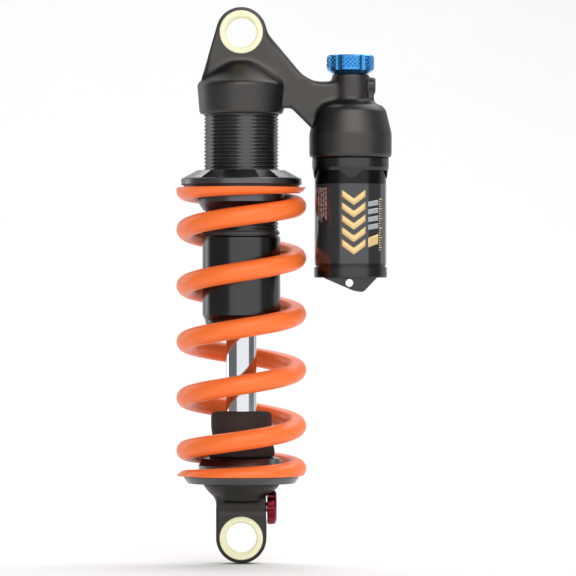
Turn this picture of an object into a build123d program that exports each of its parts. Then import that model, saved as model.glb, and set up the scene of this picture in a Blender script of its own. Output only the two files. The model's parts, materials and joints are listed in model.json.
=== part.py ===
"""Coil-over rear shock with a piggyback reservoir, one solid or group of solids for each real piece.

Frame: millimetres, origin at the centre of the upper eye, +Z up the damper's axis, +X towards the
reservoir, +Y along the eye bores. The lower eye hangs at -Z and the shock stands at full extension.
"""

import os
from math import acos, atan2, cos, hypot, pi, radians, sin

from build123d import *

os.makedirs("parts", exist_ok=True)

# ---------------------------------------------------------------- driving dimensions
EYE_TO_EYE = 210.0  # the metric 210 x 50 size
RESERVOIR_X = 45.4  # the reservoir's axis, parallel to the damper's
GAP = 0.05  # radial clearance of a running fit

# eyes and their flanged bushings
EYE_R = 10.5
EYE_WIDTH = 12.7
EYE_BORE_R = 7.5
PIN_R = 6.35
FLANGE_R = 8.95
FLANGE_T = 1.15
BUSHING_SPLIT = 0.4  # gap between the two bushings' inner ends
EDGE_ROUND = 0.8  # soft edge of the forged and machined plates
LOWER_EYE_Z = -EYE_TO_EYE

# body cap
SHOULDER_Z = -20.9
CAP_BOTTOM_Z = -34.0
CAP_TOP_R = 18.4
CAP_BOTTOM_R = 17.4
DOME_TOP_Z = -12.7
DOME_TOP_R = 8.2
ARM_HALF_WIDTH = 5.6
CAVITY_TOP_Z = -20.5
PASSAGE_R = 1.8

# reservoir head, on top of the reservoir's axis
HEAD_R = 17.15
HEAD_TOP_R = 14.9
HEAD_EDGE_Z = -42.0
HEAD_SHOULDER_Z = -31.0
HEAD_BOTTOM_Z = -52.0
HEAD_SOCKET_R = 14.0
CHAMBER_R = 11.2
CHAMBER_TOP_Z = -33.5
NECK_R = 7.7
NECK_TOP_Z = -17.2
NECK_BORE_R = 3.3
BOSS_R = 3.3
BOSS_Z = -21.9
BOSS_TIP_X = 55.8

# threaded damper tube
THREAD_R = 15.5
THREAD_DEPTH = 0.65
THREAD_PITCH = 1.5
THREAD_TOP_Z = -34.6
THREAD_TURNS = 32
TUBE_TOP_Z = -27.0
TUBE_BORE_R = 12.5
TUBE_MOUTH_R = 13.5  # wider mouth that takes the seal head
TUBE_MOUTH_Z = -106.0
SLEEVE_R = 16.25
SLEEVE_TOP_Z = -84.6
SLEEVE_BOTTOM_Z = -120.0
DETENT_FLATS = 5
FLAT_HALF_ANGLE = 17.1
FIRST_FLAT_ANGLE = -81.5  # seen from above, the flat nearest the front

# preload collar and its thrust washer
COLLAR_TOP_Z = -57.3
COLLAR_PLATE_Z = -60.6
COLLAR_BOTTOM_Z = -63.5
COLLAR_R = 25.1
COLLAR_HUB_R = 18.6
COLLAR_LUGS = 6
LUG_ANGLE = 39.0
FIRST_LUG_ANGLE = -91.2
PILOT_R = 18.2
PILOT_BOTTOM_Z = -74.0
DETENT_HOLE_Z = -60.9
WASHER_R = 24.0

# spring
SPRING_TOP_Z = -64.4
SPRING_BOTTOM_Z = -184.2
WIRE_R = 4.05
COIL_R = 23.05
HALF_TURNS = 13
HALF_PITCH = 11.65  # drop of the open coils over half a turn
MIDDLE_Z = -122.8  # height of the wire at the middle of its turns
CLOSING = 3.0  # half turns over which each end closes up
TOP_CLOSE = 1.75
BOTTOM_CLOSE = 1.4
STEPS_PER_HALF_TURN = 8

# shaft and what rides on it
SHAFT_R = 6.35
SHAFT_BORE_R = 1.6
SHAFT_TOP_Z = -84.5
SHAFT_SHOULDER_Z = -99.6
SHAFT_BOTTOM_Z = -193.2
SPIGOT_R = 4.0
PISTON_TOP_Z = -90.5
PISTON_BOTTOM_Z = -98.4
PISTON_R = 12.1
SHIM_T = 0.3
NUT_T = 3.4
TOP_OUT_BOTTOM_Z = -105.7
RETAINER_R = 24.2
RETAINER_T = 3.2
RETAINER_PILOT_R = 17.8
RETAINER_PILOT_TOP_Z = -176.4
RETAINER_SLOT = 13.2
RETAINER_BOTTOM_Z = SPRING_BOTTOM_Z - RETAINER_T
BUMPER_TOP_Z = -157.5
COUNTERBORE_R = 11.0
EYELET_SPIGOT_Z = -185.5
EYELET_STEP_Z = -194.8

# reservoir
RESERVOIR_R = 14.85
RESERVOIR_TOP_Z = -43.3
RESERVOIR_RIM_R = 16.0
RESERVOIR_BORE_R = 12.8
RESERVOIR_BOTTOM_Z = -101.9
RIM_BOTTOM_Z = -57.4
RIM_TAB_BOTTOM_Z = -60.5
RIM_TAB_R = 15.15  # radius to which the tabs taper at their ends
PLUG_TOP_Z = -92.0
SNAP_RING_Z = -99.6
FLOATING_TOP_Z = -64.0
FLOATING_BOTTOM_Z = -73.0
LABEL_R = 14.98
RESERVOIR_RING_R = 14.45
RESERVOIR_RING_Z = -47.0
PLUG_FOOT_R = 11.7
FIN_BOTTOM_Z = -107.9
FIN_HALF_WIDTH = 5.0
VALVE_Y = 7.6
BASE_VALVE_TOP_Z = -37.5
BOLT_R = 2.45
BOLT_TOP_Z = -35.3
NEEDLE_R = 1.2

# adjusters
KNOB_R = 9.75
KNOB_TOP_Z = -9.4
KNOB_TAPER_Z = -15.6
KNOB_BOTTOM_Z = -17.0
KNOB_PADS = 6
FLUTE_R = 4.0
FLUTE_DEPTH = 0.4
SPINDLE_R = NECK_BORE_R - GAP
SPINDLE_GROOVE_Z = -21.0
BALL_CIRCLE_R = 5.5  # radius at which the compression knob's detent ball sits
BALL_R = 1.2
REBOUND_Z = -197.3
REBOUND_R = 7.15
REBOUND_INNER_X = 10.75
REBOUND_OUTER_X = 14.7
JOURNAL_R = 3.55
CAM_R = 2.6
CAM_RISE_PER_DEGREE = 0.004
CAM_SWEEP = 150
CAM_HALF_WIDTH = 1.9
ROD_R = 1.5

LOW = (Align.CENTER, Align.CENTER, Align.MIN)
SIDEWAYS = (0, 90, 0)  # turns a cylinder's axis from +Z to +X
ACROSS = (90, 0, 0)  # turns a cylinder's axis into line with Y
written = []


def keep(builder, name):
    """Labels a finished piece and writes its STEP file."""
    builder.part.label = name
    export_step(builder.part, f"parts/{name}.step")
    written.append(name)


def turn(points, radii=None, x=0.0, mode=Mode.ADD):
    """Turns a half profile of (radius, height) points about a vertical axis into the open part.

    The radii round its inner corners, one for each, and the closing edge stays straight.
    """
    outline = [(x + radius, height) for radius, height in points]
    with BuildSketch(Plane.XZ) as profile:
        with BuildLine():
            if radii:
                FilletPolyline(*outline, radius=radii)
                Line(outline[-1], outline[0])
            else:
                Polyline(*outline, close=True)
        make_face()
    revolve(profile.sketch, axis=Axis((x, 0, 0), (0, 0, 1)), mode=mode)


def tube(inner, outer, low, high, x=0.0, mode=Mode.ADD):
    """A plain ring or rod about a vertical axis."""
    turn([(inner, low), (outer, low), (outer, high), (inner, high)], x=x, mode=mode)


def o_ring(radius, section, height, x=0.0):
    """An O-ring of a given centreline radius about a vertical axis."""
    with BuildSketch(Plane.XZ) as profile:
        with Locations((x + radius, height)):
            Circle(section)
    revolve(profile.sketch, axis=Axis((x, 0, 0), (0, 0, 1)))


def ports(count, circle_r, port_r, height, x=0.0):
    """A ring of vertical through holes."""
    with Locations((x, 0, height)):
        with PolarLocations(circle_r, count):
            Hole(port_r)


def hex_nut(across_corners_r, bore_r, low, high, x=0.0):
    """A hexagonal nut about a vertical axis."""
    with BuildSketch(Plane.XY.offset(low)) as profile:
        with Locations((x, 0)):
            RegularPolygon(across_corners_r, 6)
            Circle(bore_r, mode=Mode.SUBTRACT)
    extrude(profile.sketch, amount=high - low)


def eye_bushing(height, side):
    """One flanged eye bushing: side -1 is the front, +1 the rear."""
    inner_y = BUSHING_SPLIT / 2
    outer_y = EYE_WIDTH / 2 + FLANGE_T
    with BuildSketch(Plane.XY) as profile:
        with BuildLine():
            Polyline(
                (PIN_R, inner_y),
                (EYE_BORE_R - GAP, inner_y),
                (EYE_BORE_R - GAP, EYE_WIDTH / 2),
                (FLANGE_R, EYE_WIDTH / 2),
                (FLANGE_R, outer_y - 0.3),
                (FLANGE_R - 0.3, outer_y),
                (PIN_R + 0.6, outer_y),
                (PIN_R, outer_y - 0.6),
                close=True,
            )
        make_face()
    bushing = revolve(profile.sketch, axis=Axis.Y, mode=Mode.PRIVATE)
    if side < 0:
        bushing = mirror(bushing, about=Plane.XZ, mode=Mode.PRIVATE)
    add(Pos(0, 0, height) * bushing)


# ---------------------------------------------------------------- body cap
def cap_plate():
    """The flat plate of the upper eye, which spreads down to the cap's shoulder."""
    knee_x, knee_z = 16.4, -18.7
    foot = (17.0, SHOULDER_Z - 1.5)
    tangent = atan2(knee_z, knee_x) + acos(EYE_R / hypot(knee_x, knee_z))
    touch_x, touch_z = EYE_R * cos(tangent), EYE_R * sin(tangent)
    with BuildPart() as plate:
        with BuildSketch(Plane.XZ):
            with BuildLine():
                ThreePointArc((touch_x, touch_z), (0, EYE_R), (-touch_x, touch_z))
                Polyline(
                    (-touch_x, touch_z),
                    (-knee_x, knee_z),
                    (-foot[0], foot[1]),
                    foot,
                    (knee_x, knee_z),
                    (touch_x, touch_z),
                )
            make_face()
        extrude(amount=EYE_WIDTH / 2, both=True)
        fillet(plate.faces().filter_by(Axis.Y).edges(), EDGE_ROUND)
    return plate.part


def cap_arm():
    """The arm that carries oil from the cap to the reservoir head."""
    root_x = 4.0
    with BuildPart() as arm:
        with BuildSketch(Plane.XZ):
            with BuildLine():
                FilletPolyline(
                    (root_x, -2.0),
                    (10.2, 0.6),
                    (27.7, -20.3),
                    (44.0, -20.3),
                    (44.0, -42.0),
                    (31.4, -42.0),
                    (20.8, -31.4),
                    (root_x, -31.4),
                    radius=[0.6, 12.0, 0.6, 0.6, 0.6, 2.0],
                )
                Line((root_x, -31.4), (root_x, -2.0))
            make_face()
        extrude(amount=ARM_HALF_WIDTH, both=True)
        fillet(arm.faces().filter_by(Axis.Y).edges(), EDGE_ROUND)
    return arm.part


with BuildPart() as body_cap:
    add(cap_plate())
    add(cap_arm())
    # the round cap over the damper tube
    turn(
        [
            (0, DOME_TOP_Z),
            (DOME_TOP_R, DOME_TOP_Z),
            (CAP_TOP_R - 0.5, SHOULDER_Z + 0.1),
            (CAP_TOP_R, SHOULDER_Z - 0.9),
            (CAP_BOTTOM_R, CAP_BOTTOM_Z),
            (0, CAP_BOTTOM_Z),
        ],
        radii=[1.2, 0.5, 0.5, 1.2],
    )
    # the head over the reservoir, with its neck
    turn(
        [
            (0, NECK_TOP_Z),
            (NECK_R, NECK_TOP_Z),
            (NECK_R, -28.6),
            (13.2, HEAD_SHOULDER_Z + 0.7),
            (HEAD_TOP_R, HEAD_SHOULDER_Z - 1.4),
            (HEAD_R, HEAD_EDGE_Z),
            (HEAD_R, HEAD_BOTTOM_Z),
            (0, HEAD_BOTTOM_Z),
        ],
        radii=[0.5, 1.4, 1.2, 1.6, 0.3, 1.2],
        x=RESERVOIR_X,
    )
    # the bleed boss on the neck's side, with a rib down to the head's shoulder
    with Locations((RESERVOIR_X, 0, BOSS_Z)):
        Cylinder(BOSS_R, BOSS_TIP_X - RESERVOIR_X, rotation=SIDEWAYS, align=LOW)
    with BuildSketch(Plane.XZ):
        with BuildLine():
            Polyline((48.0, BOSS_Z), (55.0, BOSS_Z), (55.3, -30.6), (48.0, -31.5), close=True)
        make_face()
    extrude(amount=2.4, both=True)

    # oil spaces: tube socket and cavity, slanted passage, base-valve chamber, reservoir socket, neck bore
    turn(
        [
            (0, CAP_BOTTOM_Z),
            (THREAD_R, CAP_BOTTOM_Z),
            (THREAD_R, TUBE_TOP_Z),
            (TUBE_BORE_R, TUBE_TOP_Z),
            (TUBE_BORE_R, CAVITY_TOP_Z),
            (0, CAVITY_TOP_Z),
        ],
        mode=Mode.SUBTRACT,
    )
    turn(
        [
            (0, HEAD_BOTTOM_Z),
            (HEAD_SOCKET_R, HEAD_BOTTOM_Z),
            (HEAD_SOCKET_R, RESERVOIR_RING_Z - 0.6),
            (HEAD_SOCKET_R + 0.95, RESERVOIR_RING_Z - 0.6),
            (HEAD_SOCKET_R + 0.95, RESERVOIR_RING_Z + 0.6),
            (HEAD_SOCKET_R, RESERVOIR_RING_Z + 0.6),
            (HEAD_SOCKET_R, HEAD_EDGE_Z),
            (CHAMBER_R, HEAD_EDGE_Z),
            (CHAMBER_R, CHAMBER_TOP_Z),
            (NECK_BORE_R, CHAMBER_TOP_Z),
            (NECK_BORE_R, NECK_TOP_Z),
            (0, NECK_TOP_Z),
        ],
        x=RESERVOIR_X,
        mode=Mode.SUBTRACT,
    )
    passage = Vector(42.0, 0, -36.0) - Vector(6.0, 0, -21.6)
    with BuildSketch(Plane(origin=(6.0, 0, -21.6), z_dir=passage)):
        Circle(PASSAGE_R)
    extrude(amount=passage.length, mode=Mode.SUBTRACT)
    # upper eye, bleed port and detent pocket
    Cylinder(EYE_BORE_R, EYE_WIDTH + 2, rotation=ACROSS, mode=Mode.SUBTRACT)
    with Locations((RESERVOIR_X, 0, BOSS_Z)):
        Cylinder(1.5, BOSS_TIP_X - RESERVOIR_X, rotation=SIDEWAYS, align=LOW, mode=Mode.SUBTRACT)
    with Locations((BOSS_TIP_X - 1.0, 0, BOSS_Z)):
        Cylinder(2.4, 2.0, rotation=SIDEWAYS, align=LOW, mode=Mode.SUBTRACT)
    with Locations((RESERVOIR_X, -BALL_CIRCLE_R, NECK_TOP_Z - 2.8)):
        Cylinder(BALL_R + GAP, 4.0, align=LOW, mode=Mode.SUBTRACT)
keep(body_cap, "body_cap")

with BuildPart() as upper_eye_bushing_front:
    eye_bushing(0, -1)
keep(upper_eye_bushing_front, "upper_eye_bushing_front")

with BuildPart() as upper_eye_bushing_rear:
    eye_bushing(0, 1)
keep(upper_eye_bushing_rear, "upper_eye_bushing_rear")

with BuildPart() as bleed_screw:
    with Locations((BOSS_TIP_X - 3.6, 0, BOSS_Z)):
        Cylinder(1.45, 3.0, rotation=SIDEWAYS, align=LOW)
    with Locations((BOSS_TIP_X - 0.95, 0, BOSS_Z)):
        Cylinder(2.3, 0.9, rotation=SIDEWAYS, align=LOW)
    with BuildSketch(Plane.YZ.offset(BOSS_TIP_X - 0.6)):
        with Locations((0, BOSS_Z)):
            RegularPolygon(1.15, 6)
    extrude(amount=2.0, mode=Mode.SUBTRACT)
keep(bleed_screw, "bleed_screw")


# ---------------------------------------------------------------- damper tube and seal head
def thread_profile():
    """Corner points of the tube's outer thread, from the top turn down."""
    points = []
    for turn_number in range(THREAD_TURNS):
        top = THREAD_TOP_Z - turn_number * THREAD_PITCH
        points += [
            (THREAD_R, top),
            (THREAD_R - THREAD_DEPTH, top - 0.35 * THREAD_PITCH),
            (THREAD_R - THREAD_DEPTH, top - 0.45 * THREAD_PITCH),
            (THREAD_R, top - 0.8 * THREAD_PITCH),
        ]
    return points


THREAD_BOTTOM_Z = THREAD_TOP_Z - THREAD_TURNS * THREAD_PITCH
FLAT_R = THREAD_R * cos(radians(FLAT_HALF_ANGLE))

with BuildPart() as damper_tube:
    turn(
        [
            (TUBE_BORE_R, TUBE_TOP_Z),
            (THREAD_R - 0.4, TUBE_TOP_Z),
            (THREAD_R - GAP, TUBE_TOP_Z - 0.4),
            (THREAD_R - GAP, -29.0),
            (14.2, -29.0),
            (14.2, -30.3),
            (THREAD_R - GAP, -30.3),
            (THREAD_R - GAP, THREAD_TOP_Z + 0.2),
            *thread_profile(),
            (THREAD_R, THREAD_BOTTOM_Z),
            (THREAD_R + 0.4, THREAD_BOTTOM_Z - 0.3),
            (THREAD_R + 0.4, -84.0),
            (THREAD_R - 0.3, -84.1),
            (THREAD_R - 0.3, SLEEVE_TOP_Z),
            (SLEEVE_R - 0.6, SLEEVE_TOP_Z),
            (SLEEVE_R, SLEEVE_TOP_Z - 0.6),
            (SLEEVE_R, -117.4),
            (15.2, -119.6),
            (15.2, SLEEVE_BOTTOM_Z),
            (TUBE_MOUTH_R, SLEEVE_BOTTOM_Z),
            (TUBE_MOUTH_R, TUBE_MOUTH_Z),
            (TUBE_BORE_R, TUBE_MOUTH_Z),
        ]
    )
    with Locations((0, 0, (THREAD_TOP_Z + THREAD_BOTTOM_Z) / 2)):
        with PolarLocations(FLAT_R, DETENT_FLATS, start_angle=FIRST_FLAT_ANGLE):
            Box(
                2.0,
                12.0,
                THREAD_TURNS * THREAD_PITCH,
                align=(Align.MIN, Align.CENTER, Align.CENTER),
                mode=Mode.SUBTRACT,
            )
keep(damper_tube, "damper_tube")

with BuildPart() as tube_o_ring:
    o_ring(14.85, 0.6, -29.65)
keep(tube_o_ring, "tube_o_ring")

with BuildPart() as seal_head:
    turn(
        [
            (SHAFT_R + 0.3, TUBE_MOUTH_Z),
            (TUBE_MOUTH_R - GAP, TUBE_MOUTH_Z),
            (TUBE_MOUTH_R - GAP, -110.9),
            (12.35, -110.9),
            (12.35, -112.1),
            (TUBE_MOUTH_R - GAP, -112.1),
            (TUBE_MOUTH_R - GAP, SLEEVE_BOTTOM_Z),
            (15.0, SLEEVE_BOTTOM_Z),
            (15.0, -120.9),
            (14.7, -121.2),
            (8.85, -121.2),
            (8.85, -118.2),
            (SHAFT_R + 0.35, -118.2),
            (SHAFT_R + 0.35, -117.5),
            (8.65, -117.5),
            (8.65, -115.0),
            (SHAFT_R + 0.3, -115.0),
            (SHAFT_R + 0.3, -114.0),
            (7.65, -114.0),
            (7.65, -108.0),
            (SHAFT_R + 0.3, -108.0),
        ]
    )
    # notches for a pin spanner
    with Locations((0, 0, -120.6)):
        with PolarLocations(13.8, 4, start_angle=45):
            Box(2.0, 3.0, 1.4, align=(Align.MIN, Align.CENTER, Align.CENTER), mode=Mode.SUBTRACT)
keep(seal_head, "seal_head")

with BuildPart() as seal_head_o_ring:
    o_ring(12.92, 0.55, -111.5)
keep(seal_head_o_ring, "seal_head_o_ring")

with BuildPart() as shaft_bushing:
    tube(SHAFT_R + GAP, 7.6, -113.95, -108.05)
keep(shaft_bushing, "shaft_bushing")

with BuildPart() as shaft_seal:
    tube(SHAFT_R + GAP, 8.6, -117.45, -115.05)
keep(shaft_seal, "shaft_seal")

with BuildPart() as shaft_wiper:
    turn(
        [
            (SHAFT_R + GAP, -118.25),
            (8.8, -118.25),
            (8.8, -121.2),
            (8.0, -121.7),
            (7.0, -121.9),
            (SHAFT_R + GAP, -122.2),
        ]
    )
keep(shaft_wiper, "shaft_wiper")

# ---------------------------------------------------------------- preload collar and thrust washer
with BuildPart() as preload_collar:
    turn(
        [
            (THREAD_R + GAP, COLLAR_TOP_Z),
            (COLLAR_HUB_R, COLLAR_TOP_Z),
            (COLLAR_R - 0.4, COLLAR_PLATE_Z),
            (COLLAR_R, COLLAR_PLATE_Z - 0.4),
            (COLLAR_R, COLLAR_BOTTOM_Z + 0.4),
            (COLLAR_R - 0.4, COLLAR_BOTTOM_Z),
            (PILOT_R, COLLAR_BOTTOM_Z),
            (PILOT_R, PILOT_BOTTOM_Z + 3.7),
            (PILOT_R - 2.3, PILOT_BOTTOM_Z),
            (THREAD_R + GAP, PILOT_BOTTOM_Z),
        ]
    )
    # the spanner slots between the lugs
    slot_half_angle = 180 / COLLAR_LUGS - LUG_ANGLE / 2
    with BuildSketch(Plane.XY.offset(COLLAR_PLATE_Z)):
        for number in range(COLLAR_LUGS):
            middle = FIRST_LUG_ANGLE + (number + 0.5) * 360 / COLLAR_LUGS
            edges = [radians(middle - slot_half_angle), radians(middle + slot_half_angle)]
            with BuildLine():
                Polyline((0, 0), *[(30 * cos(edge), 30 * sin(edge)) for edge in edges], close=True)
            make_face()
        Circle(COLLAR_HUB_R, mode=Mode.SUBTRACT)
    extrude(amount=10, mode=Mode.SUBTRACT)
    # the detent's radial hole, in the rear lug
    with BuildSketch(Plane((0, 0, DETENT_HOLE_Z), x_dir=(0, 0, 1), z_dir=(0, 1, 0))):
        Circle(1.1)
    extrude(amount=COLLAR_R + 2, mode=Mode.SUBTRACT)
keep(preload_collar, "preload_collar")

with BuildPart() as collar_detent_ball:
    with Locations((0, THREAD_R + 1.15, DETENT_HOLE_Z)):
        Sphere(1.0)
keep(collar_detent_ball, "collar_detent_ball")

with BuildPart() as collar_detent_screw:
    with BuildSketch(Plane((0, 18.0, DETENT_HOLE_Z), x_dir=(0, 0, 1), z_dir=(0, 1, 0))):
        Circle(1.05)
    extrude(amount=4.5)
    with BuildSketch(Plane((0, 21.5, DETENT_HOLE_Z), x_dir=(0, 0, 1), z_dir=(0, 1, 0))):
        RegularPolygon(0.5, 6)
    extrude(amount=2.0, mode=Mode.SUBTRACT)
keep(collar_detent_screw, "collar_detent_screw")

with BuildPart() as thrust_washer:
    tube(PILOT_R + 0.1, WASHER_R, SPRING_TOP_Z, COLLAR_BOTTOM_Z)
keep(thrust_washer, "thrust_washer")


# ---------------------------------------------------------------- spring
def spring_point(half_turn):
    """A point on the wire's centreline, half_turn half turns down from the top end."""
    height = MIDDLE_Z - HALF_PITCH * (half_turn - HALF_TURNS / 2)
    height -= TOP_CLOSE * max(0.0, CLOSING - half_turn) ** 2
    height += BOTTOM_CLOSE * max(0.0, half_turn - HALF_TURNS + CLOSING) ** 2
    return (COIL_R * cos(pi * half_turn), -COIL_R * sin(pi * half_turn), height)


with BuildPart() as coil_spring:
    with BuildLine() as wire_line:
        Spline(*[spring_point(i / STEPS_PER_HALF_TURN) for i in range(HALF_TURNS * STEPS_PER_HALF_TURN + 1)])
    with BuildSketch(Plane(origin=wire_line.line @ 0, z_dir=wire_line.line % 0)):
        Circle(WIRE_R)
    sweep(path=wire_line.line, is_frenet=True)
    # both ends are ground flat
    split(bisect_by=Plane.XY.offset(SPRING_TOP_Z), keep=Keep.BOTTOM)
    split(bisect_by=Plane.XY.offset(SPRING_BOTTOM_Z), keep=Keep.TOP)
keep(coil_spring, "coil_spring")

# ---------------------------------------------------------------- shaft and main piston
with BuildPart() as damper_shaft:
    turn(
        [
            (SHAFT_BORE_R, SHAFT_TOP_Z),
            (SPIGOT_R - 0.5, SHAFT_TOP_Z),
            (SPIGOT_R, SHAFT_TOP_Z - 0.5),
            (SPIGOT_R, SHAFT_SHOULDER_Z),
            (SHAFT_R, SHAFT_SHOULDER_Z),
            (SHAFT_R, SHAFT_BOTTOM_Z),
            (SHAFT_BORE_R, SHAFT_BOTTOM_Z),
        ]
    )
keep(damper_shaft, "damper_shaft")

REBOUND_STACK_Z = PISTON_TOP_Z + 4 * SHIM_T

with BuildPart() as piston_nut:
    hex_nut(7.0, SPIGOT_R + GAP, REBOUND_STACK_Z, REBOUND_STACK_Z + NUT_T)
keep(piston_nut, "piston_nut")

with BuildPart() as rebound_shims:
    for number in range(4):
        low = PISTON_TOP_Z + number * SHIM_T
        tube(SPIGOT_R + GAP, 10.4 - 1.1 * number, low + 0.01, low + SHIM_T - 0.01)
keep(rebound_shims, "rebound_shims")

with BuildPart() as compression_shims:
    for number in range(4):
        high = PISTON_BOTTOM_Z - number * SHIM_T
        tube(SPIGOT_R + GAP, 10.4 - 1.1 * number, high - SHIM_T + 0.01, high - 0.01)
keep(compression_shims, "compression_shims")

with BuildPart() as main_piston:
    band_low = PISTON_BOTTOM_Z + 2.2
    band_high = PISTON_TOP_Z - 2.2
    turn(
        [
            (SPIGOT_R + GAP, PISTON_TOP_Z),
            (PISTON_R, PISTON_TOP_Z),
            (PISTON_R, band_high),
            (PISTON_R - 0.7, band_high),
            (PISTON_R - 0.7, band_low),
            (PISTON_R, band_low),
            (PISTON_R, PISTON_BOTTOM_Z),
            (SPIGOT_R + GAP, PISTON_BOTTOM_Z),
        ]
    )
    ports(6, 7.8, 1.4, PISTON_TOP_Z)
keep(main_piston, "main_piston")

with BuildPart() as piston_band:
    tube(PISTON_R - 0.65, TUBE_BORE_R - GAP, band_low + GAP, band_high - GAP)
keep(piston_band, "piston_band")

with BuildPart() as top_out_bumper:
    turn(
        [
            (SHAFT_R + GAP, -100.4),
            (9.4, -100.4),
            (10.4, -101.4),
            (10.4, TOP_OUT_BOTTOM_Z + 1.0),
            (9.4, TOP_OUT_BOTTOM_Z),
            (SHAFT_R + GAP, TOP_OUT_BOTTOM_Z),
        ]
    )
keep(top_out_bumper, "top_out_bumper")

# ---------------------------------------------------------------- lower end of the shaft
with BuildPart() as bottom_out_bumper:
    turn(
        [
            (SHAFT_R + 0.25, BUMPER_TOP_Z),
            (12.7, BUMPER_TOP_Z),
            (12.7, -166.5),
            (12.2, -168.5),
            (14.0, -171.5),
            (14.0, RETAINER_PILOT_TOP_Z),
            (SHAFT_R + 0.25, RETAINER_PILOT_TOP_Z),
        ],
        radii=[1.4, 1.5, 0.8, 1.5, 0.4],
    )
keep(bottom_out_bumper, "bottom_out_bumper")

with BuildPart() as spring_retainer:
    bore_r = RETAINER_SLOT / 2
    turn(
        [
            (bore_r, RETAINER_PILOT_TOP_Z),
            (13.8, RETAINER_PILOT_TOP_Z),
            (16.2, -177.0),
            (RETAINER_PILOT_R, -180.0),
            (RETAINER_PILOT_R, SPRING_BOTTOM_Z),
            (RETAINER_R - 0.3, SPRING_BOTTOM_Z),
            (RETAINER_R, SPRING_BOTTOM_Z - 0.3),
            (RETAINER_R - 0.3, SPRING_BOTTOM_Z - 1.0),
            (RETAINER_R - 1.9, RETAINER_BOTTOM_Z),
            (COUNTERBORE_R, RETAINER_BOTTOM_Z),
            (COUNTERBORE_R, EYELET_SPIGOT_Z + 0.1),
            (bore_r, EYELET_SPIGOT_Z + 0.1),
        ]
    )
    # the slot that lets it slide off the shaft once the spring is loose
    with Locations((0, 0, RETAINER_PILOT_TOP_Z)):
        Box(
            RETAINER_SLOT,
            RETAINER_R + 2,
            30,
            align=(Align.CENTER, Align.MIN, Align.CENTER),
            mode=Mode.SUBTRACT,
        )
keep(spring_retainer, "spring_retainer")


def eyelet_plate():
    """The flat plate around the lower eye."""
    with BuildPart() as plate:
        with BuildSketch(Plane.XZ):
            with Locations((0, LOWER_EYE_Z)):
                Circle(EYE_R)
            with Locations((0, (LOWER_EYE_Z - 192.0) / 2)):
                Rectangle(2 * EYE_R, -192.0 - LOWER_EYE_Z)
        extrude(amount=EYE_WIDTH / 2, both=True)
        fillet(plate.faces().filter_by(Axis.Y).edges(), EDGE_ROUND)
    return plate.part


with BuildPart() as lower_eyelet:
    add(eyelet_plate())
    turn(
        [
            (0, EYELET_SPIGOT_Z),
            (COUNTERBORE_R - 0.2, EYELET_SPIGOT_Z),
            (COUNTERBORE_R - 0.2, RETAINER_BOTTOM_Z),
            (15.8, RETAINER_BOTTOM_Z),
            (15.8, RETAINER_BOTTOM_Z - 1.0),
            (13.7, -191.0),
            (11.0, EYELET_STEP_Z + 1.2),
            (11.0, EYELET_STEP_Z),
            (0, EYELET_STEP_Z),
        ],
        radii=[0.3, 0.1, 0.5, 0.8, 3.0, 0.8, 0.2],
    )
    # a shallow band across both faces under the step
    for side in (-1, 1):
        with Locations((0, side * EYE_WIDTH / 2, -198.9)):
            Box(2 * EYE_R + 2, 0.6, 2.0, mode=Mode.SUBTRACT)
    # shaft socket, rod hole, cam bore, room for the knob, eye
    tube(0, SHAFT_R + GAP, SHAFT_BOTTOM_Z, EYELET_SPIGOT_Z + 1, mode=Mode.SUBTRACT)
    tube(0, ROD_R + 0.2, REBOUND_Z, SHAFT_BOTTOM_Z + 1, mode=Mode.SUBTRACT)
    with Locations((-4.0, 0, REBOUND_Z)):
        Cylinder(JOURNAL_R + GAP, 20, rotation=SIDEWAYS, align=LOW, mode=Mode.SUBTRACT)
    with Locations((REBOUND_INNER_X - 0.45, 0, REBOUND_Z)):
        Cylinder(REBOUND_R + 0.85, 10, rotation=SIDEWAYS, align=LOW, mode=Mode.SUBTRACT)
    with Locations((REBOUND_INNER_X - 1.9, 4.9, REBOUND_Z)):
        Cylinder(0.85, 3, rotation=SIDEWAYS, align=LOW, mode=Mode.SUBTRACT)
    with Locations((0, 0, LOWER_EYE_Z)):
        Cylinder(EYE_BORE_R, EYE_WIDTH + 2, rotation=ACROSS, mode=Mode.SUBTRACT)
keep(lower_eyelet, "lower_eyelet")

with BuildPart() as lower_eye_bushing_front:
    eye_bushing(LOWER_EYE_Z, -1)
keep(lower_eye_bushing_front, "lower_eye_bushing_front")

with BuildPart() as lower_eye_bushing_rear:
    eye_bushing(LOWER_EYE_Z, 1)
keep(lower_eye_bushing_rear, "lower_eye_bushing_rear")

# ---------------------------------------------------------------- rebound adjuster
with BuildPart() as rebound_rod:
    tube(0, ROD_R, REBOUND_Z + CAM_R + GAP, -89.0)
    turn([(0, -89.0), (ROD_R, -89.0), (0.5, -87.0), (0, -87.0)])
keep(rebound_rod, "rebound_rod")


def cam_point(angle):
    """A point of the snail cam, angle degrees from straight up, towards -Y."""
    radius = CAM_R - CAM_RISE_PER_DEGREE * angle
    return (-radius * sin(radians(angle)), REBOUND_Z + radius * cos(radians(angle)))


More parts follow.
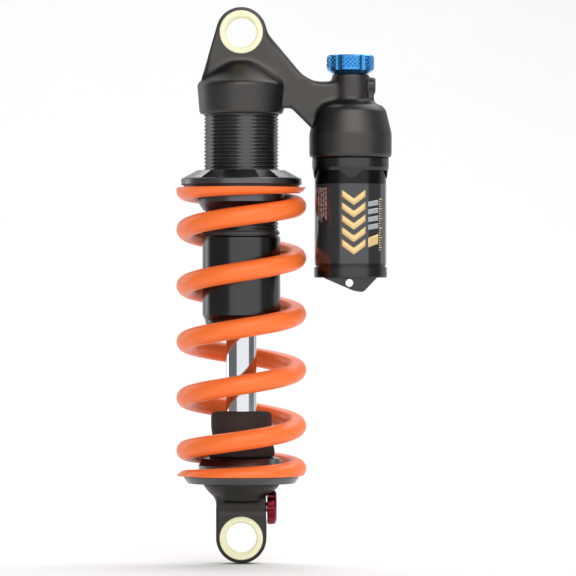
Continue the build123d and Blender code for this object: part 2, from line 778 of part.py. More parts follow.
with BuildPart() as rebound_cam_spindle:
    for start_x, end_x, radius in (
        (-3.9, -CAM_HALF_WIDTH, JOURNAL_R),
        (CAM_HALF_WIDTH, 10.2, JOURNAL_R),
        (10.2, 13.4, 2.0),
    ):
        with Locations((start_x, 0, REBOUND_Z)):
            Cylinder(radius, end_x - start_x, rotation=SIDEWAYS, align=LOW)
    with BuildSketch(Plane.YZ.offset(-CAM_HALF_WIDTH)):
        with BuildLine():
            Spline(*[cam_point(angle) for angle in range(-CAM_SWEEP, CAM_SWEEP + 1, 25)])
            Line(cam_point(CAM_SWEEP), cam_point(-CAM_SWEEP))
        make_face()
    extrude(amount=2 * CAM_HALF_WIDTH)
    with Locations((7.5, 0, REBOUND_Z)):
        Cylinder(1.05, 10, rotation=SIDEWAYS, align=LOW, mode=Mode.SUBTRACT)
keep(rebound_cam_spindle, "rebound_cam_spindle")

with BuildPart() as rebound_knob:
    with Locations((REBOUND_INNER_X, 0, REBOUND_Z)):
        Cylinder(REBOUND_R, REBOUND_OUTER_X - REBOUND_INNER_X, rotation=SIDEWAYS, align=LOW)
    chamfer(rebound_knob.edges().filter_by(GeomType.CIRCLE).sort_by(Axis.X)[0], 0.5)
    fillet(rebound_knob.edges().filter_by(GeomType.CIRCLE).sort_by(Axis.X)[-1], 1.8)
    with BuildSketch(Plane.YZ.offset(REBOUND_INNER_X - 1)):
        with Locations((0, REBOUND_Z)):
            with PolarLocations(REBOUND_R + 0.9, 10):
                Circle(1.5)
            Circle(2.05)
    extrude(amount=10, mode=Mode.SUBTRACT)
    with Locations((13.4, 0, REBOUND_Z)):
        Cylinder(2.7, 3, rotation=SIDEWAYS, align=LOW, mode=Mode.SUBTRACT)
keep(rebound_knob, "rebound_knob")

with BuildPart() as rebound_knob_screw:
    with Locations((13.4, 0, REBOUND_Z)):
        Cylinder(2.6, 1.2, rotation=SIDEWAYS, align=LOW)
    with Locations((8.5, 0, REBOUND_Z)):
        Cylinder(1.0, 5.5, rotation=SIDEWAYS, align=LOW)
    with BuildSketch(Plane.YZ.offset(13.9)):
        with Locations((0, REBOUND_Z)):
            RegularPolygon(1.2, 6)
    extrude(amount=2, mode=Mode.SUBTRACT)
keep(rebound_knob_screw, "rebound_knob_screw")

with BuildPart() as rebound_detent_ball:
    with Locations((REBOUND_INNER_X - 1.0, 4.9, REBOUND_Z)):
        Sphere(0.8)
keep(rebound_detent_ball, "rebound_detent_ball")


# ---------------------------------------------------------------- reservoir

with BuildPart() as reservoir_tube:
    turn(
        [
            (RESERVOIR_BORE_R, RESERVOIR_TOP_Z),
            (HEAD_SOCKET_R - 0.4, RESERVOIR_TOP_Z),
            (HEAD_SOCKET_R - GAP, RESERVOIR_TOP_Z - 0.4),
            (HEAD_SOCKET_R - GAP, HEAD_BOTTOM_Z - 0.1),
            (RESERVOIR_RIM_R - 0.3, HEAD_BOTTOM_Z - 0.1),
            (RESERVOIR_RIM_R, HEAD_BOTTOM_Z - 0.4),
            (RESERVOIR_RIM_R, RIM_BOTTOM_Z + 1.4),
            (RIM_TAB_R, RIM_TAB_BOTTOM_Z),
            (RESERVOIR_R, RIM_TAB_BOTTOM_Z),
            (RESERVOIR_R, -96.6),
            (14.5, -96.8),
            (14.5, -97.4),
            (15.2, -97.6),
            (15.2, RESERVOIR_BOTTOM_Z + 0.3),
            (14.9, RESERVOIR_BOTTOM_Z),
            (RESERVOIR_BORE_R, RESERVOIR_BOTTOM_Z),
            (RESERVOIR_BORE_R, SNAP_RING_Z - 1.2),
            (13.5, SNAP_RING_Z - 1.2),
            (13.5, SNAP_RING_Z),
            (RESERVOIR_BORE_R, SNAP_RING_Z),
        ],
        x=RESERVOIR_X,
    )
    # cut the lower rim away between its four tapered tabs
    for side in range(4):
        middle = 90 * side + 45
        across = Vector(cos(radians(middle)), sin(radians(middle)), 0)
        cut_plane = Plane(origin=(RESERVOIR_X, 0, 0), x_dir=(-across.Y, across.X, 0), z_dir=across)
        with BuildSketch(cut_plane):
            with BuildLine():
                Polyline(
                    (-7.2, RIM_BOTTOM_Z),
                    (-10.4, RIM_TAB_BOTTOM_Z - 0.5),
                    (10.4, RIM_TAB_BOTTOM_Z - 0.5),
                    (7.2, RIM_BOTTOM_Z),
                    close=True,
                )
            make_face()
        extrude(amount=30, mode=Mode.SUBTRACT)
    tube(RESERVOIR_BORE_R, RESERVOIR_R, -61.5, -57.0, x=RESERVOIR_X)
keep(reservoir_tube, "reservoir_tube")

with BuildPart() as reservoir_o_ring:
    o_ring(RESERVOIR_RING_R, 0.47, RESERVOIR_RING_Z, x=RESERVOIR_X)
keep(reservoir_o_ring, "reservoir_o_ring")

with BuildPart() as reservoir_label:
    tube(RESERVOIR_R + 0.01, LABEL_R, -96.0, -63.0, x=RESERVOIR_X)
    # the film wraps the front and stops short of the rear
    with Locations((RESERVOIR_X, 4.0, -79.5)):
        Box(40, 30, 40, align=(Align.CENTER, Align.MIN, Align.CENTER), mode=Mode.SUBTRACT)
keep(reservoir_label, "reservoir_label")

with BuildPart() as reservoir_end_cap:
    turn(
        [
            (0, PLUG_TOP_Z),
            (RESERVOIR_BORE_R - GAP, PLUG_TOP_Z),
            (RESERVOIR_BORE_R - GAP, -94.8),
            (11.75, -94.8),
            (11.75, -96.0),
            (RESERVOIR_BORE_R - GAP, -96.0),
            (RESERVOIR_BORE_R - GAP, SNAP_RING_Z),
            (PLUG_FOOT_R, SNAP_RING_Z),
            (PLUG_FOOT_R, RESERVOIR_BOTTOM_Z),
            (0, RESERVOIR_BOTTOM_Z),
        ],
        x=RESERVOIR_X,
    )
    # the grip fin under the plug, drilled for a pin that turns or pulls it
    with BuildSketch(Plane.XZ):
        with BuildLine():
            FilletPolyline(
                (34.4, RESERVOIR_BOTTOM_Z + 1),
                (34.4, RESERVOIR_BOTTOM_Z - 0.2),
                (46.7, -107.4),
                (50.6, FIN_BOTTOM_Z - 0.1),
                (56.4, RESERVOIR_BOTTOM_Z),
                (56.4, RESERVOIR_BOTTOM_Z + 1),
                radius=[0.4, 3.0, 2.4, 0.4],
            )
            Line((56.4, RESERVOIR_BOTTOM_Z + 1), (34.4, RESERVOIR_BOTTOM_Z + 1))
        make_face()
    extrude(amount=FIN_HALF_WIDTH, both=True)
    with Locations((44.9, 0, -104.1)):
        Cylinder(1.6, 4 * FIN_HALF_WIDTH, rotation=ACROSS, mode=Mode.SUBTRACT)
    # the gas port behind the fin
    with Locations((RESERVOIR_X, VALVE_Y, RESERVOIR_BOTTOM_Z - 1)):
        Cylinder(2.05, 6.4, align=LOW, mode=Mode.SUBTRACT)
        Cylinder(0.8, 20, align=LOW, mode=Mode.SUBTRACT)
keep(reservoir_end_cap, "reservoir_end_cap")

with BuildPart() as end_cap_o_ring:
    o_ring(12.27, 0.5, -95.4, x=RESERVOIR_X)
keep(end_cap_o_ring, "end_cap_o_ring")

with BuildPart() as end_cap_snap_ring:
    tube(PLUG_FOOT_R + 0.1, 13.45, SNAP_RING_Z - 1.15, SNAP_RING_Z - GAP, x=RESERVOIR_X)
    with Locations((RESERVOIR_X, 12.5, SNAP_RING_Z)):
        Box(5, 5, 5, mode=Mode.SUBTRACT)
keep(end_cap_snap_ring, "end_cap_snap_ring")

with BuildPart() as nitrogen_valve:
    with Locations((RESERVOIR_X, VALVE_Y, RESERVOIR_BOTTOM_Z - 0.4)):
        Cylinder(2.0, 5.0, align=LOW)
    with BuildSketch(Plane.XY.offset(RESERVOIR_BOTTOM_Z - 0.4)):
        with Locations((RESERVOIR_X, VALVE_Y)):
            RegularPolygon(1.15, 6)
    extrude(amount=1.8, mode=Mode.SUBTRACT)
keep(nitrogen_valve, "nitrogen_valve")

with BuildPart() as floating_piston:
    ring_high = FLOATING_TOP_Z - 2.0
    ring_low = ring_high - 1.2
    turn(
        [
            (0, FLOATING_TOP_Z),
            (12.4, FLOATING_TOP_Z),
            (12.4, ring_high),
            (11.7, ring_high),
            (11.7, ring_low),
            (12.4, ring_low),
            (12.4, FLOATING_BOTTOM_Z + 4.0),
            (11.9, FLOATING_BOTTOM_Z + 4.0),
            (11.9, FLOATING_BOTTOM_Z + 1.0),
            (12.4, FLOATING_BOTTOM_Z + 1.0),
            (12.4, FLOATING_BOTTOM_Z),
            (9.5, FLOATING_BOTTOM_Z),
            (8.5, FLOATING_BOTTOM_Z + 5.0),
            (0, FLOATING_BOTTOM_Z + 5.0),
        ],
        x=RESERVOIR_X,
    )
keep(floating_piston, "floating_piston")

with BuildPart() as floating_piston_o_ring:
    o_ring(12.25, 0.5, (ring_high + ring_low) / 2, x=RESERVOIR_X)
keep(floating_piston_o_ring, "floating_piston_o_ring")

with BuildPart() as floating_piston_band:
    band_edge = FLOATING_BOTTOM_Z + 1.0 + GAP
    tube(11.95, RESERVOIR_BORE_R - GAP, band_edge, band_edge + 2.9, x=RESERVOIR_X)
keep(floating_piston_band, "floating_piston_band")

# ---------------------------------------------------------------- base valve
with BuildPart() as base_valve_piston:
    turn(
        [
            (BOLT_R + GAP, BASE_VALVE_TOP_Z),
            (CHAMBER_R - GAP, BASE_VALVE_TOP_Z),
            (CHAMBER_R - GAP, HEAD_EDGE_Z),
            (HEAD_SOCKET_R - 0.1, HEAD_EDGE_Z),
            (HEAD_SOCKET_R - 0.1, RESERVOIR_TOP_Z),
            (BOLT_R + GAP, RESERVOIR_TOP_Z),
        ],
        x=RESERVOIR_X,
    )
    ports(6, 6.6, 1.3, BASE_VALVE_TOP_Z, x=RESERVOIR_X)
keep(base_valve_piston, "base_valve_piston")

with BuildPart() as base_valve_shims:
    for number in range(3):
        high = RESERVOIR_TOP_Z - number * SHIM_T
        tube(BOLT_R + GAP, 9.4 - 1.6 * number, high - SHIM_T + 0.01, high - 0.01, x=RESERVOIR_X)
keep(base_valve_shims, "base_valve_shims")

with BuildPart() as base_valve_bolt:
    bolt_seat_z = RESERVOIR_TOP_Z - 3 * SHIM_T
    hex_nut(5.2, NEEDLE_R + 0.15, bolt_seat_z - 2.4, bolt_seat_z, x=RESERVOIR_X)
    tube(NEEDLE_R + 0.15, BOLT_R, bolt_seat_z, BOLT_TOP_Z, x=RESERVOIR_X)
keep(base_valve_bolt, "base_valve_bolt")

with BuildPart() as base_valve_nut:
    hex_nut(4.6, BOLT_R + GAP, BASE_VALVE_TOP_Z, BASE_VALVE_TOP_Z + 2.0, x=RESERVOIR_X)
keep(base_valve_nut, "base_valve_nut")

# ---------------------------------------------------------------- compression adjuster
with BuildPart() as compression_spindle:
    turn(
        [
            (0, KNOB_TOP_Z - 1.5),
            (2.6, KNOB_TOP_Z - 1.5),
            (2.6, KNOB_BOTTOM_Z),
            (SPINDLE_R, KNOB_BOTTOM_Z),
            (SPINDLE_R, SPINDLE_GROOVE_Z + 0.55),
            (2.3, SPINDLE_GROOVE_Z + 0.55),
            (2.3, SPINDLE_GROOVE_Z - 0.55),
            (SPINDLE_R, SPINDLE_GROOVE_Z - 0.55),
            (SPINDLE_R, CHAMBER_TOP_Z + 0.5),
            (NEEDLE_R, CHAMBER_TOP_Z - 1.0),
            (NEEDLE_R, BASE_VALVE_TOP_Z + 1.4),
            (0.3, BASE_VALVE_TOP_Z),
            (0, BASE_VALVE_TOP_Z),
        ],
        x=RESERVOIR_X,
    )
    with Locations((RESERVOIR_X, 0, KNOB_TOP_Z - 7.0)):
        Cylinder(1.3, 7.0, align=LOW, mode=Mode.SUBTRACT)
keep(compression_spindle, "compression_spindle")

with BuildPart() as spindle_o_ring:
    o_ring(2.79, 0.46, SPINDLE_GROOVE_Z, x=RESERVOIR_X)
keep(spindle_o_ring, "spindle_o_ring")

with BuildPart() as compression_knob:
    turn(
        [
            (2.65, KNOB_TOP_Z - 1.5),
            (3.3, KNOB_TOP_Z - 1.5),
            (3.3, KNOB_TOP_Z),
            (KNOB_R - 0.5, KNOB_TOP_Z),
            (KNOB_R, KNOB_TOP_Z - 0.5),
            (KNOB_R, KNOB_TAPER_Z),
            (7.6, KNOB_BOTTOM_Z),
            (BALL_CIRCLE_R + 1.4, KNOB_BOTTOM_Z),
            (BALL_CIRCLE_R + 1.4, KNOB_BOTTOM_Z + 0.5),
            (BALL_CIRCLE_R - 1.4, KNOB_BOTTOM_Z + 0.5),
            (BALL_CIRCLE_R - 1.4, KNOB_BOTTOM_Z),
            (2.65, KNOB_BOTTOM_Z),
        ],
        x=RESERVOIR_X,
    )
    # plain flutes between the grip pads
    with Locations((RESERVOIR_X, 0, KNOB_BOTTOM_Z - 1)):
        with PolarLocations(KNOB_R + FLUTE_R - FLUTE_DEPTH, KNOB_PADS, start_angle=-60):
            Cylinder(FLUTE_R, 12, align=LOW, mode=Mode.SUBTRACT)
    # detent dimples in the groove's roof
    with Locations((RESERVOIR_X, 0, KNOB_BOTTOM_Z)):
        with PolarLocations(BALL_CIRCLE_R, 24):
            Cylinder(0.5, 0.8, align=LOW, mode=Mode.SUBTRACT)
keep(compression_knob, "compression_knob")

with BuildPart() as compression_knob_screw:
    with Locations((RESERVOIR_X, 0, KNOB_TOP_Z - 1.5)):
        Cylinder(3.2, 1.3, align=LOW)
    with Locations((RESERVOIR_X, 0, KNOB_TOP_Z - 6.5)):
        Cylinder(1.25, 5.5, align=LOW)
    with BuildSketch(Plane.XY.offset(KNOB_TOP_Z - 1.3)):
        with Locations((RESERVOIR_X, 0)):
            RegularPolygon(1.3, 6)
    extrude(amount=2, mode=Mode.SUBTRACT)
keep(compression_knob_screw, "compression_knob_screw")

with BuildPart() as compression_detent_ball:
    with Locations((RESERVOIR_X, -BALL_CIRCLE_R, KNOB_BOTTOM_Z + 0.45 - BALL_R)):
        Sphere(BALL_R)
keep(compression_detent_ball, "compression_detent_ball")

print(len(written), "pieces")
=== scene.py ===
"""Coil-over rear shock: the parts that CAD leaves plain, every finish, and a plain studio.

Metres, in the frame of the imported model: the upper eye is at the origin, the damper's axis is Z,
and the reservoir stands towards +X.
"""

import json
from math import cos, pi, radians, sin

import bmesh
import bpy
from mathutils import Matrix, Vector


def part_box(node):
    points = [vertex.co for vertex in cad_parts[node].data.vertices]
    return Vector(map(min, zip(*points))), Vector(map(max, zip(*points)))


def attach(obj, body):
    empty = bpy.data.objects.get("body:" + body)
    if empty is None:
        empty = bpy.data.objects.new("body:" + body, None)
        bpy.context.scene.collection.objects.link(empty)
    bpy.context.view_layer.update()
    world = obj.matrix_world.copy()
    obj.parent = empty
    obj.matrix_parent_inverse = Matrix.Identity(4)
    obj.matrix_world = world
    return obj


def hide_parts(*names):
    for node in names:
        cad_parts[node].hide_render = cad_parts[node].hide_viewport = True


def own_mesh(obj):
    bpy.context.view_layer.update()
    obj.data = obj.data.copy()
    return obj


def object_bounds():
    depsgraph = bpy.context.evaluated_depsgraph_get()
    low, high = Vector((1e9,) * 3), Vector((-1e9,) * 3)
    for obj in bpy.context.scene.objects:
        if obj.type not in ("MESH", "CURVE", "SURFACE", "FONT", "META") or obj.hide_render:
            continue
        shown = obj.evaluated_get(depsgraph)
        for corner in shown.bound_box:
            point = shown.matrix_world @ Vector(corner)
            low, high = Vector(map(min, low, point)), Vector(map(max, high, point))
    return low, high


bl_info = {
    "name": "Rear shock",
    "version": (1, 0, 0),
    "blender": (4, 5, 0),
    "location": "3D View > Sidebar > Rear Shock",
    "description": "Builds the looks of a coil-over rear shock around its packed parts",
    "category": "Object",
}

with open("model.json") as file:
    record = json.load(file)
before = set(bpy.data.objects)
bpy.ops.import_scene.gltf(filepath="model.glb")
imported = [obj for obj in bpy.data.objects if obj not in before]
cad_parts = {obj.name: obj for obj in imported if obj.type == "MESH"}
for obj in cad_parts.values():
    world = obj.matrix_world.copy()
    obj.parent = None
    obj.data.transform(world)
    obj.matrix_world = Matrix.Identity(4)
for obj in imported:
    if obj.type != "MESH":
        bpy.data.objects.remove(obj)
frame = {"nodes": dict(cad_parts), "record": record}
cad_low, cad_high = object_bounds()

MM = 0.001
RESERVOIR_X = sum(c.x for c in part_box("reservoir_tube")) / 2
LABEL_SKIN = 0.01498  # radius of the label film's outside
ROUND_THE_AXIS = (0.02, 0.02, 1)  # stretches a pattern into lines round a turned part


def linear(hex_colour):
    """An sRGB hex colour as the linear values that shaders use."""
    parts = [int(hex_colour[i : i + 2], 16) / 255 for i in (1, 3, 5)]
    return [c / 12.92 if c <= 0.04045 else ((c + 0.055) / 1.055) ** 2.4 for c in parts]


def colour(name, description, hex_colour):
    return bpy.props.FloatVectorProperty(
        name=name, description=description, subtype="COLOR", min=0, max=1, default=linear(hex_colour)
    )


def length(name, description, metres):
    return bpy.props.FloatProperty(name=name, description=description, unit="LENGTH", min=0, default=metres)


# ---------------------------------------------------------------- what a user may change
class ShockColours(bpy.types.PropertyGroup):
    cap: colour("Forged cap", "Satin warm grey of the cap", "#4C4A48")
    eyelet: colour("Lower eyelet", "The lower eyelet's darker anodising", "#403E3C")
    black: colour("Black anodise", "Gloss black of the tube, collar, retainer and reservoir", "#434343")
    # a lighter copy of the black anodise: painted light that stands in for reflections on the collar's lugs
    # and the retainer
    collar: colour("Black anodise with painted light", "The preload collar and the spring retainer", "#5E5E60")
    blue: colour("Blue anodise", "The compression knob", "#4795D4")
    red: colour("Red anodise", "The rebound knob", "#7C2430")
    spring: colour("Powder coat", "The spring", "#FF7630")
    bushing: colour("Bushing polymer", "The flanged bushings in both eyes", "#F1EFC9")
    bumper: colour("Bumper foam", "The bottom-out bumper", "#38322F")
    gold: colour("Gold print", "The label's large mark", "#E6C488")
    silver: colour("Silver print", "The label's small mark", "#A7AAB0")


class ShockSizes(bpy.types.PropertyGroup):
    wire: length("Wire", "Diameter of the spring's wire", 0.0081)
    coil: length("Coil radius", "From the damper's axis to the wire's centre", 0.02305)
    pitch: length("Half pitch", "Drop of the open coils over half a turn", 0.01165)
    knurl: length("Knurl", "Spacing of the knob's knurling", 0.0013)
    print_thickness: length("Print", "Thickness of the label's ink", 0.00003)


# ---------------------------------------------------------------- small helpers
def add(tree, kind, inputs=None, **settings):
    """Adds a node with its settings. An input is a value, or another node's socket to link."""
    node = tree.nodes.new(kind)
    for key, value in settings.items():
        setattr(node, key, value)
    for key, value in (inputs or {}).items():
        if isinstance(value, bpy.types.NodeSocket):
            tree.links.new(value, node.inputs[key])
        else:
            node.inputs[key].default_value = value
    return node


def new_material(name, rgb, **values):
    """A Principled material of one base colour, with the shader's own sockets set."""
    material = bpy.data.materials.new(name)
    material.use_nodes = True
    material.diffuse_color = (*rgb, 1)
    tree = material.node_tree
    shader = tree.nodes["Principled BSDF"]
    shader.inputs["Base Color"].default_value = (*rgb, 1)
    for key, value in values.items():
        shader.inputs[key.replace("_", " ")].default_value = value
    return material, tree, shader


def per_mm(size):
    """Texture scale on Object coordinates whose features are size millimetres apart."""
    return 1 / (size * MM)


def tone(rgb, factor):
    """A darker or lighter tone of a colour, with alpha."""
    return (*(min(1, c * factor) for c in rgb), 1)


def object_coordinates(tree, scale=(1, 1, 1)):
    place = add(tree, "ShaderNodeTexCoord")
    return add(tree, "ShaderNodeMapping", {"Vector": place.outputs["Object"], "Scale": scale}).outputs[0]


def dress(tree, shader, rgb, tones, sheen, relief=None):
    """Drives a shader from patterns.

    tones and sheen are each a pattern and the two ends it moves between: factors of the base colour,
    and roughnesses. relief is a pattern, its depth in millimetres and a strength.
    """
    pattern, low, high = tones
    ends = {"Factor": pattern, "A": tone(rgb, low), "B": tone(rgb, high)}
    mix = add(tree, "ShaderNodeMix", ends, data_type="RGBA")
    tree.links.new(mix.outputs["Result"], shader.inputs["Base Color"])
    pattern, low, high = sheen
    spread = add(tree, "ShaderNodeMapRange", {"Value": pattern, "To Min": low, "To Max": high})
    tree.links.new(spread.outputs[0], shader.inputs["Roughness"])
    if relief:
        pattern, depth_mm, strength = relief
        height = {"Height": pattern, "Distance": depth_mm * MM, "Strength": strength}
        bump = add(tree, "ShaderNodeBump", height)
        tree.links.new(bump.outputs[0], shader.inputs["Normal"])


def repaint(tree, shader, zone, rgba):
    """Gives a zone its own base colour, over the pattern of the rest."""
    rest = shader.inputs["Base Color"].links[0].from_socket
    mix = add(tree, "ShaderNodeMix", {"Factor": zone, "A": rest, "B": rgba}, data_type="RGBA")
    tree.links.new(mix.outputs["Result"], shader.inputs["Base Color"])


# ---------------------------------------------------------------- finishes
def forged_anodise(name, rgb):
    """Forged aluminium, bead-blasted and anodised: a soft even sheen with a fine dull grain."""
    material, tree, shader = new_material(name, rgb, Metallic=1.0)
    at = object_coordinates(tree)
    cloud = add(tree, "ShaderNodeTexNoise", {"Vector": at, "Scale": per_mm(9), "Detail": 4.0})
    # the blasted grain is near 0.1 mm and is drawn at 0.45 mm so that it shows
    grit = add(tree, "ShaderNodeTexNoise", {"Vector": at, "Scale": per_mm(0.45), "Detail": 2.0})
    tones, sheen = (cloud.outputs[0], 0.9, 1.1), (cloud.outputs[0], 0.36, 0.48)
    dress(tree, shader, rgb, tones, sheen, (grit.outputs[0], 0.02, 0.5))
    return material


def turned_anodise(name, rgb, rough):
    """Turned aluminium under dyed anodising: deep colour, crisp bands of light, faint tool lines."""
    material, tree, shader = new_material(name, rgb, Metallic=1.0)
    at, round_it = object_coordinates(tree), object_coordinates(tree, ROUND_THE_AXIS)
    # tool lines are near 0.1 mm apart and are drawn at 0.4 mm so that they show
    lines = add(tree, "ShaderNodeTexNoise", {"Vector": round_it, "Scale": per_mm(0.4), "Detail": 2.0})
    cloud = add(tree, "ShaderNodeTexNoise", {"Vector": at, "Scale": per_mm(6), "Detail": 3.0})
    tones, sheen = (cloud.outputs[0], 0.9, 1.1), (lines.outputs[0], rough * 0.8, rough * 1.25)
    dress(tree, shader, rgb, tones, sheen, (lines.outputs[0], 0.006, 0.35))
    return material


def between(tree, value, low, high):
    """1 where a value lies between two heights or radii in millimetres, and 0 elsewhere."""
    above = add(tree, "ShaderNodeMath", {0: value, 1: low * MM}, operation="GREATER_THAN").outputs[0]
    below = add(tree, "ShaderNodeMath", {0: value, 1: high * MM}, operation="LESS_THAN").outputs[0]
    return add(tree, "ShaderNodeMath", {0: above, 1: below}, operation="MULTIPLY").outputs[0]


def dulled_threads(rgb):
    """The damper tube: gloss anodise on the turned sleeve, paler and duller on the cut threads."""
    material = turned_anodise("threaded_black_anodise", rgb, 0.2)
    tree = material.node_tree
    shader = tree.nodes["Principled BSDF"]
    height = add(tree, "ShaderNodeSeparateXYZ", {0: object_coordinates(tree)}).outputs[2]
    gloss = shader.inputs["Roughness"].links[0].from_socket
    lowest_thread, duller = -84.4, 0.24
    on_threads = between(tree, height, lowest_thread, 0)
    repaint(tree, shader, on_threads, tone(rgb, 1.5))
    rough = add(tree, "ShaderNodeMath", {0: on_threads, 1: duller, 2: gloss}, operation="MULTIPLY_ADD")
    tree.links.new(rough.outputs[0], shader.inputs["Roughness"])
    return material


def shadowed_rim(rgb):
    """The reservoir tube: gloss anodise, with painted shade darkening its bare wall between the rim's tabs
    and the label.
    """
    material = turned_anodise("reservoir_black_anodise", rgb, 0.24)
    tree = material.node_tree
    shader = tree.nodes["Principled BSDF"]
    place = object_coordinates(tree)
    axis = (RESERVOIR_X, 0, 0)
    centred = add(tree, "ShaderNodeVectorMath", {0: place, 1: axis}, operation="SUBTRACT").outputs[0]
    flat = add(tree, "ShaderNodeVectorMath", {0: centred, 1: (1, 1, 0)}, operation="MULTIPLY").outputs[0]
    radius = add(tree, "ShaderNodeVectorMath", {0: flat}, operation="LENGTH").outputs["Value"]
    height = add(tree, "ShaderNodeSeparateXYZ", {0: place}).outputs[2]
    # the bare wall has a radius of 14.85 mm, and the label begins at its foot; this wall gets painted shade
    wall, band = between(tree, radius, 14, 15), between(tree, height, -63.2, -52)
    painted_shade_wall = add(tree, "ShaderNodeMath", {0: wall, 1: band}, operation="MULTIPLY").outputs[0]
    # painted shade: the wall below the rim and its tabs is darkened to less than half the tone, as if in
    # their shadow
    repaint(tree, shader, painted_shade_wall, tone(rgb, 0.45))
    return material


def powder_coat(rgb):
    """Spring steel under powder coat: saturated, softly glossy, with a faint orange peel."""
    gloss = {"Coat_Weight": 0.15, "Coat_Roughness": 0.2, "Specular_IOR_Level": 0.35}
    material, tree, shader = new_material("powder_coat", rgb, **gloss)
    at = object_coordinates(tree)
    peel = add(tree, "ShaderNodeTexNoise", {"Vector": at, "Scale": per_mm(1.6), "Detail": 2.0})
    cloud = add(tree, "ShaderNodeTexNoise", {"Vector": at, "Scale": per_mm(14), "Detail": 3.0})
    tones, sheen = (cloud.outputs[0], 0.93, 1.04), (peel.outputs[0], 0.34, 0.46)
    dress(tree, shader, rgb, tones, sheen, (peel.outputs[0], 0.03, 0.35))
    return material


def hard_chrome():
    """Ground steel rod under hard chrome: a mirror with the faintest lines round it."""
    rgb = linear("#C8CACE")
    material, tree, shader = new_material("hard_chrome", rgb, Metallic=1.0)
    round_it = object_coordinates(tree, ROUND_THE_AXIS)
    # grinding lines are far finer and are drawn at 0.6 mm so that they show
    lines = add(tree, "ShaderNodeTexNoise", {"Vector": round_it, "Scale": per_mm(0.6), "Detail": 2.0})
    tones, sheen = (lines.outputs[0], 0.96, 1.02), (lines.outputs[0], 0.05, 0.1)
    dress(tree, shader, rgb, tones, sheen)
    return material


def plain_finish(name, rgb, rough, grain_mm, depth_mm, spread=0.08, **values):
    """Moulded, blasted or blackened surfaces: one colour with a fine even grain, slightly mottled."""
    material, tree, shader = new_material(name, rgb, **values)
    at = object_coordinates(tree)
    grain = add(tree, "ShaderNodeTexNoise", {"Vector": at, "Scale": per_mm(grain_mm), "Detail": 3.0})
    mottle_mm = grain_mm * 9
    cloud = add(tree, "ShaderNodeTexNoise", {"Vector": at, "Scale": per_mm(mottle_mm), "Detail": 3.0})
    tones, sheen = (cloud.outputs[0], 1 - spread, 1 + spread), (grain.outputs[0], rough * 0.88, rough * 1.12)
    dress(tree, shader, rgb, tones, sheen, (grain.outputs[0], depth_mm, 0.5))
    return material


def cellular_foam(rgb):
    """Microcellular polyurethane in its moulded skin: matte, with tiny pits."""
    material, tree, shader = new_material("cellular_foam", rgb, Specular_IOR_Level=0.3)
    at = object_coordinates(tree)
    # the cells are near 0.2 mm and are drawn at 0.7 mm so that they show
    cells = add(tree, "ShaderNodeTexVoronoi", {"Vector": at, "Scale": per_mm(0.7)})
    cloud = add(tree, "ShaderNodeTexNoise", {"Vector": at, "Scale": per_mm(5), "Detail": 4.0})
    tones, sheen = (cloud.outputs[0], 0.85, 1.15), (cloud.outputs[0], 0.8, 0.92)
    dress(tree, shader, rgb, tones, sheen, (cells.outputs["Distance"], 0.06, 0.6))
    return material


def make_finishes(c):
    """Every finish by the record's slot name."""
    steel, film = {"Metallic": 1.0}, {"IOR": 1.5, "Coat_Weight": 0.5}
    return {
        "cap_finish": forged_anodise("forged_satin_anodise", c.cap),
        "black_anodised": turned_anodise("black_anodise", c.black, 0.2),
        "grey_anodised": plain_finish("blasted_grey_anodise", linear("#66666A"), 0.45, 0.5, 0.015, **steel),
        "blue_anodised": turned_anodise("blue_anodise", c.blue, 0.26),
        "red_anodised": turned_anodise("red_anodise", c.red, 0.26),
        "spring_coat": powder_coat(c.spring),
        "hard_chrome": hard_chrome(),
        # filled bearing polymer, machined: creamy yellow and softly matte
        "bushing_polymer": plain_finish("bushing_polymer", c.bushing, 0.42, 0.6, 0.01, 0.03, IOR=1.5),
        # filled PTFE: dark, waxy
        "bearing_polymer": plain_finish("filled_ptfe", linear("#3C423C"), 0.5, 0.5, 0.01, IOR=1.4),
        # moulded black rubber: soft dull sheen
        "nitrile": plain_finish("nitrile_rubber", linear("#1F1F1F"), 0.55, 0.4, 0.01, IOR=1.52),
        "bumper_foam": cellular_foam(c.bumper),
        # machined bright steel: pale grey, short soft highlights
        "steel": plain_finish("machined_steel", linear("#B9BABC"), 0.28, 0.5, 0.008, **steel),
        # black oxide: nearly black steel with an oily gleam
        "blued_steel": plain_finish("black_oxide_steel", linear("#3A3A3D"), 0.38, 0.5, 0.01, **steel),
        # gloss film over black: wet-looking and flat
        "label_film": plain_finish("label_film", linear("#2A2A2C"), 0.16, 2.0, 0.004, 0.05, **film),
        "washer_polymer": plain_finish("acetal", linear("#2E2E2E"), 0.4, 0.6, 0.01, IOR=1.48),
    }


# ---------------------------------------------------------------- making pieces
def as_piece(bm, name, body, material, replaces=()):
    """Turns a bmesh into a finished piece that rides on its body."""
    bmesh.ops.remove_doubles(bm, verts=bm.verts, dist=1e-7)
    bmesh.ops.recalc_face_normals(bm, faces=bm.faces)
    mesh = bpy.data.meshes.new(name)
    bm.to_mesh(mesh)
    bm.free()
    for polygon in mesh.polygons:
        polygon.use_smooth = True
    piece = bpy.data.objects.new(name, mesh)
    bpy.context.scene.collection.objects.link(piece)
    piece.data.materials.append(material)
    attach(piece, body)
    if replaces:
        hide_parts(*replaces)
    return piece


def finish_of(slot):
    """The finish that the finishes operator made for a slot."""
    name = bpy.context.scene["shock_finishes"][slot]
    return bpy.data.materials[name]


def modifier_tree(name):
    tree = bpy.data.node_groups.new(name, "GeometryNodeTree")
    tree.interface.new_socket("Geometry", in_out="INPUT", socket_type="NodeSocketGeometry")
    tree.interface.new_socket("Geometry", in_out="OUTPUT", socket_type="NodeSocketGeometry")
    return tree, add(tree, "NodeGroupInput"), add(tree, "NodeGroupOutput")


